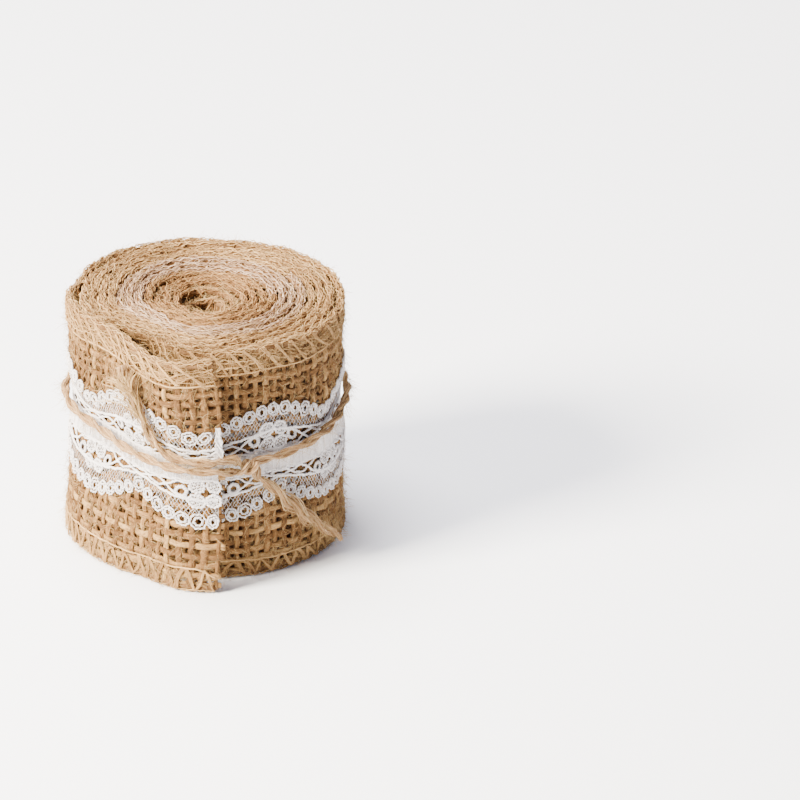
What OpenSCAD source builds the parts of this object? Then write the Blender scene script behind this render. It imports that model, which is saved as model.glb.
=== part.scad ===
// A narrow burlap table runner with a lace band, wound into a roll and tied with jute twine.
// The roll stands on its lower edge. Its outer end comes round the left side and stops at the front.

/* [Runner] */
// Width of the runner, which is the height of the roll
runner_w = 60; // [50:1:80]
// Thickness of the woven burlap
burlap_t = 1.3; // [1.0:0.1:1.3]
// Distance from one turn to the next
pitch = 2.3; // [2.3:0.05:2.6]
// Radius of the middle of the burlap where the winding starts
start_r = 3.25; // [3.0:0.05:4.0]

/* [Edges] */
// Height of the looper stitches up each face
looper_h = 5.5; // [4:0.5:7]
// Thickness of the looper thread on each face
looper_t = 0.3; // [0.2:0.05:0.3]
// Height of the straight needle thread beside the loopers
needle_h = 0.6; // [0.4:0.1:0.8]

/* [Lace] */
// Height of the middle of the lace above the base
lace_z = 30.3; // [26:0.1:33]
// Width of the dense tape along the middle of the lace
tape_w = 6; // [5:0.5:9]
// Width of the open border on each side of the tape
border_w = 3.5; // [3:0.5:8]
// Width of the picot edge outside each border, at the notches between scallops
picot_w = 3.4; // [2:0.1:4]
// How much wider the picot edge is at the middle of each scallop
scallop = 5; // [0:0.5:6]
// Thickness of the lace
lace_t = 0.4; // [0.3:0.05:0.4]
// Width of the line of thread that sews the lace to the burlap
seam_w = 0.5; // [0.3:0.1:0.8]
// How far that thread stands above the lace
seam_t = 0.15; // [0.1:0.05:0.15]

/* [Tie] */
// Diameter of the twine
twine_d = 2.3; // [1.6:0.1:2.6]
// Height of the wrap above the base at the right-hand side; it hangs lower at the front
wrap_z = 35; // [32:0.5:38]
// Radius of the knot
knot_r = 2.6; // [2.2:0.1:3]

/* [Hidden] */

// Winding angles in degrees, counted from the inner end. The core is the part that slides out.
outer_step_a = 10;
core_step_a = 15;
core_a = 1980;
end_a = 4770;
first_a = 182;
// Angle of the free end, seen from above
flap_a = 272;
// The last bit of the core stops short of the rest, so the two can slide past each other
core_gap_a = 4;

// Hollows pressed into the wound roll: angle, half width in degrees, depth at the outside
dents = [[172, 16, 1.4], [218, 24, 3.2]];
// Where the last turn springs away from the roll: angle before the end, half width, height
corner = [96, 9, 1.0];
// The free end lifts off over this angle by this much
flap_lift_a = 30;
flap_lift = 3.0;

// Gap between the roll's largest outline and the tie
tie_gap = 0.3;
// How much higher or lower the wrap runs at each angle
wrap_drop = [[0, 0], [180, 0.3], [215, -1.2], [232, -2.1], [250, -2.8], [272, -3.1], [286, -4.14],
    [306, -3.1], [330, -1.4], [345, -0.4], [360, 0]];
thread_gap = 0.05;
face = burlap_t / 2;
lace_in = face + thread_gap;
lace_out = lace_in + lace_t;
looper_out = face + looper_t;
proud = max(lace_out + seam_t, looper_out);

// Points along each free end of the twine, from the knot outwards, with the roll's axis at x = y = 0
left_route = [[6.8, -36.2, 33.8], [4.6, -37.7, 34.0], [1.6, -39.6, 34.2], [-1.6, -39.6, 34.4],
    [-4.8, -39.1, 34.6], [-8, -37.8, 35.0], [-11, -35.8, 36.4], [-13.4, -33.9, 39.2], [-15.2, -32.5, 42.8],
    [-16.8, -31.2, 46.8], [-18.4, -29.8, 50.4], [-19.6, -28.7, 52.8],
    [-20.3, -28, 54.4]];
right_route = [[12.2, -33.8, 27.9], [14.6, -32.6, 25.8], [17.2, -31.1, 22.4], [19.8, -29.4, 18.9],
    [22.4, -27.6, 15.8], [25, -25.8, 13.0], [27.6, -24, 10.2], [30, -22.3, 7.6], [32.2, -20.7, 5.4]];
route_steps = 3;
tube_sides = 8;

function turned(a) = a + first_a;
function off_angle(a, to) = (turned(a) - to + 180) % 360 - 180;
function bell(x) = exp(-x * x);
function ease(x) = let (t = min(1, max(0, x))) t * t * (3 - 2 * t);
function plain_r(a) = start_r + pitch * a / 360;
function sum(v, i = 0) = i < len(v) ? v[i] + sum(v, i + 1) : 0;
function pressed_in(a) = plain_r(a) / plain_r(end_a)
    * sum([for (d = dents) d[2] * bell(off_angle(a, d[0]) / d[1])]);
function sprung_out(a) = corner[2] * bell((a - end_a + corner[0]) / corner[1])
    + flap_lift * ease((a - end_a + flap_lift_a) / (flap_lift_a * 0.8));
// Radius of the middle of the burlap at a winding angle
function wound_r(a) = plain_r(a) - pressed_in(a) + sprung_out(a);
function polar(r, t) = [r * cos(t), r * sin(t)];

// The tie's path: along the last turn, then straight from the free end onto the turn below
clear_r = proud + tie_gap + twine_d / 2;
bridge_r = wound_r(end_a - 330) + clear_r;
bridge_from = wound_r(end_a) + clear_r;
bridge_a = acos(bridge_r / bridge_from);
function tie_r(t) = t < bridge_a ? bridge_r / cos(bridge_a - t) : wound_r(end_a - 360 + t) + clear_r;
function tie_z(t) = wrap_z + lookup((flap_a + t) % 360, wrap_drop);
function tie_point(t) = concat(polar(tie_r(t), flap_a + t), [tie_z(t)]);
tie_path = [for (t = [0:8:352]) tie_point(t)];
knot_t = 14;
knot_at = tie_point(knot_t);

// The base is centred under the wound roll and its tie
reach = [for (p = tie_path) [p[0], p[1]]];
function column(v, i) = [for (p = v) p[i]];
function middle(v) = (min(v) + max(v)) / 2;
centre = [middle(column(reach, 0)), middle(column(reach, 1))];

function span(a0, a1, step) = [for (i = [0:ceil((a1 - a0) / step)]) min(a1, a0 + i * step)];
function flipped(v) = [for (i = [len(v) - 1:-1:0]) v[i]];
function side(as, off) = [for (a = as) polar(wound_r(a) + off, turned(a)) - centre];

core_span = span(0, core_a - core_gap_a, core_step_a);
outer_span = span(core_a, end_a, outer_step_a);

// A wall of the winding, between two heights and two distances from the middle of the burlap
module wound(as, z, off) {
    translate([0, 0, z[0]]) linear_extrude(z[1] - z[0])
        polygon(concat(side(as, off[1]), flipped(side(as, off[0]))));
}

module burlap(as) {
    color([0.78, 0.62, 0.42]) wound(as, [0, runner_w], [-face, face]);
}

low_looper_z = [0, looper_h];
high_looper_z = [runner_w - looper_h, runner_w];

// The looper threads lie over both faces of each edge, one on the face and one on the back
module face_looper(as, z) {
    color([0.88, 0.76, 0.6]) wound(as, z, [face, looper_out]);
}

module back_looper(as, z) {
    color([0.86, 0.73, 0.56]) wound(as, z, [-looper_out, -face]);
}

// One straight line of needle thread on the face, where the loopers end
module needle(as, z) {
    color([0.9, 0.79, 0.63]) wound(as, [z, z + needle_h], [face, looper_out]);
}

low_needle_z = looper_h + thread_gap;
high_needle_z = runner_w - looper_h - thread_gap - needle_h;

module lace(as, z) {
    color([0.95, 0.94, 0.93]) wound(as, z, [lace_in, lace_out]);
}

tape_z = [lace_z - tape_w / 2, lace_z + tape_w / 2];
border_z = tape_z + [-border_w, border_w];
lace_core_z = border_z + [-picot_w, picot_w];

// Two lines of thread, one near each side of the tape
module lace_seam(as) {
    for (z = tape_z) color([0.92, 0.9, 0.88])
        wound(as, [z - seam_w / 2, z + seam_w / 2], [lace_out, lace_out + seam_t]);
}

// The faces that join ring i to ring j, in a skin of rings with n points each
function wall(i, j, n) = [for (k = [0:n - 1]) let (m = (k + 1) % n)
    [i * n + k, i * n + m, j * n + m, j * n + k]];

// A point on the straight facet between two corners of the winding
function on_facet(a, off) = let (
    a0 = end_a - outer_step_a * ceil((end_a - a) / outer_step_a), t = (a - a0) / outer_step_a,
    p = polar(wound_r(a0) + off, turned(a0)),
    q = polar(wound_r(a0 + outer_step_a) + off, turned(a0 + outer_step_a)))
    (1 - t) * p + t * q - centre;

// The picot edge follows the last turn, and its free side runs in scallops that meet in notches.
// The upper scallops stand over the lower notches.
picot_step = 5;
picot_a = 400;
scallop_a = 57.5;
scallop_from = 4.2;
module picots(sign) {
    as = [for (a = [end_a - picot_a:picot_step:end_a]) a];
    near = lace_z + sign * (tape_w / 2 + border_w);
    rings = [for (a = as) let (
        u = 180 * (end_a - scallop_from - a) / scallop_a,
        far = near + sign * (picot_w + scallop * abs(sign > 0 ? sin(u) : cos(u))),
        low = min(near, far), high = max(near, far), in = on_facet(a, lace_in), out = on_facet(a, lace_out))
        each [[in[0], in[1], low], [out[0], out[1], low], [out[0], out[1], high], [in[0], in[1], high]]];
    last = len(as) - 1;
    color([0.97, 0.96, 0.95]) polyhedron(rings, concat(
        [[0, 1, 2, 3]], [for (i = [0:last - 1]) each wall(i + 1, i, 4)],
        [[last * 4 + 3, last * 4 + 2, last * 4 + 1, last * 4]]));
}

// A round tube along points: each ring stands square to the path
function unit(v) = v / norm(v);
function ahead(path, i, loop) = let (n = len(path))
    loop ? unit(path[(i + 1) % n] - path[(i + n - 1) % n])
         : unit(path[min(n - 1, i + 1)] - path[max(0, i - 1)]);
function ring(p, along, r) = let (
    u = unit(cross(along, [0, 0, 1] + 0.01 * [p[0], p[1], 0])), v = cross(u, along))
    [for (k = [0:tube_sides - 1]) let (t = 360 * (k + 0.5) / tube_sides) p + r * (cos(t) * u + sin(t) * v)];
module tube(path, r, loop = false) {
    n = len(path);
    points = [for (i = [0:n - 1]) each ring(path[i], ahead(path, i, loop), r)];
    walls = [for (i = [0:n - 2]) each wall(i, i + 1, tube_sides)];
    first = [for (k = [tube_sides - 1:-1:0]) k];
    last = [for (k = [0:tube_sides - 1]) (n - 1) * tube_sides + k];
    translate([-centre[0], -centre[1], 0]) polyhedron(points,
        loop ? concat(walls, wall(n - 1, 0, tube_sides)) : concat([first], walls, [last]));
}

// A smooth curve through the points of a route
function curve_at(p, i, t) = let (
    a = p[max(0, i - 1)], b = p[i], c = p[i + 1], d = p[min(len(p) - 1, i + 2)])
    b + t / 2 * (c - a + t * (2 * a - 5 * b + 4 * c - d + t * (3 * b - 3 * c + d - a)));
function smooth(p) = concat(
    [for (i = [0:len(p) - 2], k = [0:route_steps - 1]) curve_at(p, i, k / route_steps)], [p[len(p) - 1]]);

jute = [0.74, 0.56, 0.36];

module burlap_core() { burlap(core_span); }
module face_looper_top_core() { face_looper(core_span, high_looper_z); }
module face_looper_bottom_core() { face_looper(core_span, low_looper_z); }
module back_looper_top_core() { back_looper(core_span, high_looper_z); }
module back_looper_bottom_core() { back_looper(core_span, low_looper_z); }
module needle_top_core() { needle(core_span, high_needle_z); }
module needle_bottom_core() { needle(core_span, low_needle_z); }
module lace_core() { lace(core_span, lace_core_z); }
module lace_seam_core() { lace_seam(core_span); }
module burlap_outer() { burlap(outer_span); }
module face_looper_top_outer() { face_looper(outer_span, high_looper_z); }
module face_looper_bottom_outer() { face_looper(outer_span, low_looper_z); }
module back_looper_top_outer() { back_looper(outer_span, high_looper_z); }
module back_looper_bottom_outer() { back_looper(outer_span, low_looper_z); }
module needle_top_outer() { needle(outer_span, high_needle_z); }
module needle_bottom_outer() { needle(outer_span, low_needle_z); }
module lace_tape_outer() { lace(outer_span, tape_z); }
module lace_upper_outer() { lace(outer_span, [tape_z[1], border_z[1]]); }
module lace_lower_outer() { lace(outer_span, [border_z[0], tape_z[0]]); }
module lace_seam_outer() { lace_seam(outer_span); }
module picots_upper() { picots(1); }
module picots_lower() { picots(-1); }
module twine_wrap() { color(jute) tube(tie_path, twine_d / 2, true); }
module knot() {
    color(jute) translate(knot_at - [centre[0], centre[1], 0]) intersection() {
        sphere(knot_r, $fn = 48);
        cylinder(h = 1.8 * knot_r, r = knot_r, center = true, $fn = 48);
    }
}
module tail_left() { color(jute) tube(smooth(left_route), twine_d / 2); }
module tail_right() { color(jute) tube(smooth(right_route), twine_d / 2); }

burlap_core();
face_looper_top_core();
face_looper_bottom_core();
back_looper_top_core();
back_looper_bottom_core();
needle_top_core();
needle_bottom_core();
lace_core();
lace_seam_core();
burlap_outer();
face_looper_top_outer();
face_looper_bottom_outer();
back_looper_top_outer();
back_looper_bottom_outer();
needle_top_outer();
needle_bottom_outer();
lace_tape_outer();
lace_upper_outer();
lace_lower_outer();
lace_seam_outer();
picots_upper();
picots_lower();
twine_wrap();
knot();
tail_left();
tail_right();
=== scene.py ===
import math
import bpy
import numpy as np
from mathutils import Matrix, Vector


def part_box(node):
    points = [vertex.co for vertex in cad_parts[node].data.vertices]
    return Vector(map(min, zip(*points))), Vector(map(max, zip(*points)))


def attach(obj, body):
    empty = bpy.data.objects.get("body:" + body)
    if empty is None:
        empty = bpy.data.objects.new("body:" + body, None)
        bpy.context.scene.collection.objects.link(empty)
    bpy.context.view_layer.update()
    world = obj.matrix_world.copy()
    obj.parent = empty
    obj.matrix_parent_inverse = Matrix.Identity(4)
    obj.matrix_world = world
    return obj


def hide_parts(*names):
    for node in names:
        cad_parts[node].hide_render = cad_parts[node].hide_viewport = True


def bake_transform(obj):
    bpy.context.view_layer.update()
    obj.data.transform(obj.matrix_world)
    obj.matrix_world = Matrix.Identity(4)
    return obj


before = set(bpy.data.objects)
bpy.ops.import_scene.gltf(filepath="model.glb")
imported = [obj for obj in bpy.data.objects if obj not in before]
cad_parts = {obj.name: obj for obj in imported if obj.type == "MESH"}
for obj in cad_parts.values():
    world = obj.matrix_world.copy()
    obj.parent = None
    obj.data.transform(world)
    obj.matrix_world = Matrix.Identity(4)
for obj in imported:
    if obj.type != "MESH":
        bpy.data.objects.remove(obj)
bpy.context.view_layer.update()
MM = 0.001
UP = np.array([0, 0, 1.0])

# ---- the winding, as part.scad has it
# Lengths are in millimetres and angles in degrees until a point is placed.
RUNNER_W = 60.0
START_R = 3.25
PITCH = 2.3
END_A = 4770.0
FIRST_A = 182.0
CORE_A = 1980.0
RAMP_A = CORE_A + 180.0
CAD_STEP_A = 10.0
DENTS = ((172.0, 16.0, 1.4), (218.0, 24.0, 3.2))
CORNER = (96.0, 9.0, 1.0)
FLAP_LIFT_A = 30.0
FLAP_LIFT = 3.0
FACE = 0.65
LACE_IN = 0.7
LACE_OUT = 1.1
PROUD = 1.25
TIE_GAP = 0.3
TWINE_R = 1.15
FLAP_A = 272.0
WRAP_HEIGHTS = ((0.0, 35.0), (180.0, 35.3), (215.0, 33.8), (232.0, 32.9), (250.0, 32.2), (272.0, 31.9),
                (286.0, 30.86), (306.0, 31.9), (330.0, 33.6), (345.0, 34.6), (360.0, 35.0))
KNOT_T = 14.0

# Each free end's route, from the knot outwards, with the roll's axis at x = y = 0
LEFT_ROUTE = [(6.8, -36.2, 33.8), (4.6, -37.7, 34.0), (1.6, -39.6, 34.2), (-1.6, -39.6, 34.4),
              (-4.8, -39.1, 34.6), (-8, -37.8, 35.0), (-11, -35.8, 36.4), (-13.4, -33.9, 39.2),
              (-15.2, -32.5, 42.8), (-16.8, -31.2, 46.8), (-18.4, -29.8, 50.4), (-19.6, -28.7, 52.8),
              (-20.3, -28, 54.4)]
RIGHT_ROUTE = [(12.2, -33.8, 27.9), (14.6, -32.6, 25.8), (17.2, -31.1, 22.4), (19.8, -29.4, 18.9),
               (22.4, -27.6, 15.8), (25, -25.8, 13.0), (27.6, -24, 10.2), (30, -22.3, 7.6),
               (32.2, -20.7, 5.4)]

# The tie's pinch: its depth, half its height, and how far below the twine its middle lies
WAIST = 1.2
PINCH_HALF = 6.0
PINCH_BELOW = 1.5
# Turns inside this radius keep the same outline at every height, and the next ones change gradually
STRAIGHT_R = 18.2
STRAIGHT_FADE = 7.0
# The cut end isn't square: how much further the strip reaches there, by height
CUT_HEIGHTS = (0, 12, 46, 60)
CUT_REACH = (0.7, 1.6, 1.7, 0.5)
CUT_FADE = 14.0
# Where the edges of the strip lie on the flat cloth's heights
TOP_DROP = 0.2
LOW_Z = 0.6


def ease(x):
    t = np.clip(x, 0.0, 1.0)
    return t * t * (3 - 2 * t)


def hump(off, half_width):
    """1 where off is 0, and next to nothing two half widths away on either side."""
    return np.exp(-(off / half_width) ** 2)


def plain_r(a):
    return START_R + PITCH * a / 360


def pressed_in(a):
    total = 0.0
    for angle, half_width, depth in DENTS:
        off = (a + FIRST_A - angle + 180) % 360 - 180
        total = total + depth * hump(off, half_width)
    return total * plain_r(a) / plain_r(END_A)


def sprung_out(a):
    before, half_width, height = CORNER
    bump = height * hump(a - END_A + before, half_width)
    return bump + FLAP_LIFT * ease((a - END_A + FLAP_LIFT_A) / (FLAP_LIFT_A * 0.8))


def wound_r(a):
    return plain_r(a) - pressed_in(a) + sprung_out(a)


def polar(r, degrees):
    t = np.radians(degrees)
    return np.stack([r * np.cos(t), r * np.sin(t)], axis=-1)


def find_axis():
    """The roll's axis in the frame, from the box of the outer turns."""
    a = np.arange(CORE_A, END_A + 1, CAD_STEP_A)
    outline = polar(wound_r(a) + FACE, a + FIRST_A)
    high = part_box("burlap_outer")[1]
    return np.array([high[i] / MM - outline[:, i].max() for i in range(2)])


AXIS = find_axis()
AXIS3 = np.array([*AXIS, 0.0])
A = np.arange(0.0, END_A + 0.25, 0.5)
MID = polar(wound_r(A), A + FIRST_A)
S = np.concatenate([[0.0], np.cumsum(np.linalg.norm(np.diff(MID, axis=0), axis=1))])
TANGENT = np.gradient(MID, axis=0)
TANGENT /= np.linalg.norm(TANGENT, axis=1, keepdims=True)
NORMAL = np.stack([TANGENT[:, 1], -TANGENT[:, 0]], axis=-1)


def length_at(a):
    return float(np.interp(a, A, S))


S_END = length_at(END_A)
S_CUT = length_at(CORE_A)
S_RAMP = length_at(RAMP_A)
S_PALE = length_at(3090)
S_LAST = length_at(END_A - 430)
S_LACE = length_at(END_A - 364)


def wave(x, seed, longest):
    """A smooth, repeatable wobble between about -1 and 1."""
    rng = np.random.default_rng(seed)
    total = 0.0
    for k in range(4):
        total = total + np.sin(x / longest * (1.0 + 1.3 * k) * 2 * np.pi + rng.uniform(0, 6.28)) / (1 + k)
    return total / 1.6


def twine_height(angle):
    return np.interp(angle, *zip(*WRAP_HEIGHTS))


def held_in(angle):
    """How much of the tie's pinch shows at an angle round the roll: none at the flap and the knot."""
    return ease((250 - angle) / 30) + ease((angle - 320) / 30)


def swell(s, z):
    """How far the strip stands out beyond its even winding."""
    a = np.interp(s, S, A)
    size = plain_r(a) / plain_r(END_A)
    angle = (a + FIRST_A) % 360
    before_end = END_A - a
    upper, lower = ease((z - 36) / 18), ease((28 - z) / 24)
    under_flap = 1 - ease((75 - before_end) / 30)
    # The front left of the roll stands out at its foot and is pressed in higher up
    total = size * lower * 3.4 * hump(angle - 218, 34)
    total = total - size * upper * (0.9 * hump(angle - 220, 24) + 1.2 * under_flap * hump(angle - 244, 18))
    # The turns behind the free end lean in at the top, which leaves the hollow there
    total = total - size ** 3 * 4.6 * under_flap * ease((z - 49) / 10) * hump(angle - 239, 17)
    from_tie = z + PINCH_BELOW - twine_height(angle)
    total = total - size * WAIST * np.exp(-(from_tie / PINCH_HALF) ** 4) * held_in(angle)
    # The free end springs out most at its top, less at its foot, and a little at the bend before it
    total = total + upper * 2.3 * hump(14 - before_end, 12.5)
    total = total + upper * 0.5 * hump(96 - before_end, 8)
    total = total + lower * 2.6 * ease((30 - before_end) / 32)
    return total * ease((plain_r(a) - STRAIGHT_R) / STRAIGHT_FADE)


def top_z(s):
    """Height of the strip's upper edge: lower in the core, wavy, and turned up at its cut end after a dip."""
    centre = 1 - ease(s / 85)
    dish = 1.1 * (1 - ease(s / 420)) + 2.6 * centre
    lift = 0.7 * ease((s - S_END + 9) / 9) - 0.9 * hump(s - S_END + 17, 9)
    return RUNNER_W - TOP_DROP - dish + lift + 0.45 * wave(s, 11, 53) + 0.7 * centre * wave(s, 13, 12)


def low_z(s):
    return LOW_Z + 0.1 * wave(s, 12, 41)


def at_height(s, z):
    """A nominal height on the flat strip, taken to where it lies on the roll."""
    low = low_z(s)
    return low + z / RUNNER_W * (top_z(s) - low)


def on_strip(s, off, z):
    """Points on the wound strip: length along it, distance from its middle, and nominal height."""
    s, off, z = np.broadcast_arrays(np.asarray(s, float), off, z)
    s = s + np.interp(z, CUT_HEIGHTS, CUT_REACH) * ease((s - S_END + CUT_FADE) / CUT_FADE)
    off = off + swell(s, z)
    inside = np.minimum(s, S_END)
    beyond = s - inside
    p = [np.interp(inside, S, MID[:, i]) + off * np.interp(inside, S, NORMAL[:, i])
         + beyond * np.interp(inside, S, TANGENT[:, i]) + AXIS[i] for i in range(2)]
    return np.stack([p[0], p[1], at_height(s, z)], axis=-1)


def outward(s):
    n = [np.interp(s, S, NORMAL[:, i]) for i in range(2)]
    return np.stack([n[0], n[1], np.zeros_like(n[0])], axis=-1)


# ---- mesh building
def unit(v):
    return v / np.maximum(np.linalg.norm(v, axis=-1, keepdims=True), 1e-12)


def skin_tubes(paths, wide, thick, up, sides=6, tone=None, closed=False, lumps=0.0):
    """Tubes of elliptical section along one path (points, 3) or more. up is the thin direction."""
    paths = paths.reshape(-1, *paths.shape[-2:])
    count, points, _ = paths.shape
    if closed:
        ahead = np.roll(paths, -1, axis=1) - np.roll(paths, 1, axis=1)
    else:
        ahead = np.gradient(paths, axis=1)
    ahead = unit(ahead)
    up = np.broadcast_to(up, paths.shape)
    across = unit(np.cross(ahead, up))
    up = np.cross(across, ahead)
    wide = np.broadcast_to(wide, (count, points))[..., None, None] / 2
    thick = np.broadcast_to(thick, (count, points))[..., None, None] / 2
    turn = np.arange(sides) * 2 * np.pi / sides
    c, n = np.cos(turn)[:, None], np.sin(turn)[:, None]
    lumpy = 1 + lumps * np.random.default_rng(points).standard_normal((count, points, sides, 1))
    verts = paths[:, :, None] + lumpy * (wide * c * across[:, :, None] + thick * n * up[:, :, None])
    i = np.arange(count)[:, None, None] * points * sides
    last = points if closed else points - 1
    j = np.arange(last)[None, :, None]
    k = np.arange(sides)[None, None, :]
    j2, k2 = (j + 1) % points, (k + 1) % sides
    corners = [i + j * sides + k, i + j * sides + k2, i + j2 * sides + k2, i + j2 * sides + k]
    quads = np.stack(corners, axis=-1)
    faces = quads.reshape(-1, 4).tolist()
    if not closed:
        for path in range(count):
            first = path * points * sides
            end = first + (points - 1) * sides
            faces.append([first + side for side in reversed(range(sides))])
            faces.append([end + side for side in range(sides)])
    step = np.linalg.norm(np.diff(paths, axis=1), axis=-1)
    along = np.concatenate([np.zeros((count, 1)), np.cumsum(step, axis=1)], axis=1)
    shape = (count, points, sides)
    fibre = np.stack([np.broadcast_to(along[..., None], shape), np.broadcast_to(np.cos(turn), shape),
                      np.broadcast_to(np.sin(turn), shape)], axis=-1)
    if tone is None:
        tone = np.full(count, 0.5)
    tones = np.broadcast_to(np.asarray(tone, float).reshape(count, -1, 1), shape)
    return verts.reshape(-1, 3), faces, fibre.reshape(-1, 3), tones.reshape(-1)


def build(name, skins, look, slot, body, *nodes):
    """One object from skins in millimetres, on its body, in place of its CAD nodes.

    The body "ramp" is the half turn that bends from the core to the roll.
    """
    verts, faces, fibres, tones, base = [], [], [], [], 0
    for v, f, fibre, tone in skins:
        verts.append(v)
        faces.extend([[x + base for x in face] for face in f] if base else f)
        fibres.append(fibre)
        tones.append(tone)
        base += len(v)
    mesh = bpy.data.meshes.new(name)
    mesh.from_pydata((np.concatenate(verts) * MM).tolist(), [], faces)
    for label, kind, field, values in (("fibre", "FLOAT_VECTOR", "vector", np.concatenate(fibres)),
                                       ("tone", "FLOAT", "value", np.concatenate(tones))):
        mesh.attributes.new(label, kind, "POINT").data.foreach_set(field, values.astype(np.float32).ravel())
    mesh.shade_smooth()
    piece = bpy.data.objects.new(name, mesh)
    bpy.context.scene.collection.objects.link(piece)
    mesh.materials.append(look)
    if body == "ramp":
        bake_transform(piece)
    else:
        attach(piece, body)
    if nodes:
        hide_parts(*nodes)
    return piece


def smooth_route(points, steps):
    """A curve through the points, worked out as part.scad does it."""
    p = np.asarray(points, float)
    n = len(p)
    out = []
    for i in range(n - 1):
        a, b, c, d = p[max(0, i - 1)], p[i], p[i + 1], p[min(n - 1, i + 2)]
        for k in range(steps):
            t = k / steps
            out.append(b + t / 2 * (c - a + t * (2 * a - 5 * b + 4 * c - d + t * (3 * b - 3 * c + d - a))))
    return np.array(out + [p[-1]])


# ---- materials
CONTRAST = 0.8
PATCHES = 0.3
OWN_TONE = 0.22
TONE_SHIFT = 137.0


def material(name, colour, rough):
    m = bpy.data.materials.new(name)
    m.use_nodes = True
    shader = m.node_tree.nodes["Principled BSDF"]
    shader.inputs["Base Color"].default_value = (*colour, 1)
    shader.inputs["Roughness"].default_value = rough
    return m, m.node_tree, shader


def attribute(tree, name):
    node = tree.nodes.new("ShaderNodeAttribute")
    node.attribute_name = name
    return node


def calculate(tree, operation, *values):
    """A math node's result. Each value is a number, or the socket that it comes from."""
    node = tree.nodes.new("ShaderNodeMath")
    node.operation = operation
    for socket, value in zip(node.inputs, values):
        if isinstance(value, float):
            socket.default_value = value
        else:
            tree.links.new(value, socket)
    return node.outputs[0]


def colour_by(tree, value, stops, shader):
    """Colours the shader by a value from 0 to 1."""
    node = tree.nodes.new("ShaderNodeValToRGB")
    elements = node.color_ramp.elements
    while len(elements) < len(stops):
        elements.new(0.5)
    for element, (place, colour) in zip(elements, stops):
        element.position = place
        element.color = (*colour, 1)
    tree.links.new(value, node.inputs[0])
    tree.links.new(node.outputs["Color"], shader.inputs["Base Color"])


def raise_by(tree, value, strength, distance, shader):
    """Relief on the shader. distance is in metres."""
    relief = tree.nodes.new("ShaderNodeBump")
    relief.inputs["Strength"].default_value = strength
    relief.inputs["Distance"].default_value = distance
    tree.links.new(value, relief.inputs["Height"])
    tree.links.new(relief.outputs["Normal"], shader.inputs["Normal"])


def fibre_noise(tree, along, around, detail=4.0):
    """Noise stretched along each yarn and different on each one."""
    scale = tree.nodes.new("ShaderNodeVectorMath")
    scale.operation = "MULTIPLY"
    scale.inputs[1].default_value = (along, around, around)
    tree.links.new(attribute(tree, "fibre").outputs["Vector"], scale.inputs[0])
    add = tree.nodes.new("ShaderNodeVectorMath")
    add.operation = "ADD"
    tree.links.new(scale.outputs[0], add.inputs[0])
    tone = attribute(tree, "tone").outputs["Fac"]
    tree.links.new(calculate(tree, "MULTIPLY", tone, TONE_SHIFT), add.inputs[1])
    noise = tree.nodes.new("ShaderNodeTexNoise")
    noise.inputs["Scale"].default_value = 1.0
    noise.inputs["Detail"].default_value = detail
    tree.links.new(add.outputs[0], noise.inputs["Vector"])
    return noise.outputs["Fac"]


def yarn_look(name, dark, middle, light, along, around, bump):
    """Spun yarn: streaks of fibre in colour and relief, and a tone of its own for each yarn."""
    m, tree, shader = material(name, middle, 0.9)
    streaks = tree.nodes.new("ShaderNodeMix")
    streaks.inputs["Factor"].default_value = 0.5
    tree.links.new(fibre_noise(tree, along, around), streaks.inputs["A"])
    tree.links.new(fibre_noise(tree, along * 1.7, around * 3.2), streaks.inputs["B"])
    patches = fibre_noise(tree, along * 0.25, around * 0.25, 2.0)
    own = calculate(tree, "MULTIPLY", attribute(tree, "tone").outputs["Fac"], OWN_TONE)
    shade = calculate(tree, "MULTIPLY_ADD", patches, PATCHES, own)
    shade = calculate(tree, "MULTIPLY_ADD", streaks.outputs["Result"], CONTRAST, shade)
    centre = (CONTRAST + PATCHES + OWN_TONE) / 2
    colour_by(tree, shade, [(centre - 0.19, dark), (centre, middle), (centre + 0.19, light)], shader)
    raise_by(tree, streaks.outputs["Result"], 0.9, bump, shader)
    shader.inputs["Specular IOR Level"].default_value = 0.12
    return m


# Each yarn: a dark, a middle and a light shade, how fine its streaks are along and around it, and its relief
BURLAP = yarn_look("burlap_yarn", (0.055, 0.025, 0.009), (0.225, 0.112, 0.039), (0.56, 0.34, 0.135),
                   1.5, 4.5, 0.0005)
EDGING = yarn_look("looper_thread", (0.13, 0.064, 0.024), (0.36, 0.207, 0.082), (0.66, 0.45, 0.22),
                   1.6, 2.2, 0.00008)
NEEDLE = yarn_look("needle_thread", (0.18, 0.095, 0.035), (0.42, 0.245, 0.10), (0.64, 0.43, 0.21),
                   1.6, 2.2, 0.00006)
PALE = yarn_look("pale_looper_thread", (0.16, 0.085, 0.05), (0.41, 0.262, 0.155), (0.67, 0.50, 0.36),
                 1.6, 2.2, 0.00008)
# The core's thread: its own brown, made darker still as painted shade for the hollow in the roll's middle.
BROWN = yarn_look("core_looper_thread", (0.09, 0.038, 0.012), (0.26, 0.13, 0.048), (0.52, 0.31, 0.135),
                  1.6, 2.2, 0.0001)
LACE = yarn_look("lace_cotton", (0.36, 0.32, 0.32), (0.72, 0.68, 0.665), (0.9, 0.87, 0.86),
                 3.2, 2.4, 0.00015)
SEAM = yarn_look("lace_seam_thread", (0.4, 0.37, 0.37), (0.68, 0.65, 0.65), (0.85, 0.83, 0.82),
                 2.5, 1.8, 0.00004)
JUTE = yarn_look("jute_twine", (0.14, 0.068, 0.025), (0.40, 0.24, 0.115), (0.70, 0.51, 0.30),
                 1.1, 3.6, 0.0002)
PADDING = yarn_look("edge_burlap", (0.065, 0.028, 0.011), (0.19, 0.095, 0.037), (0.36, 0.21, 0.093),
                    2.2, 3.5, 0.0004)
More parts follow.
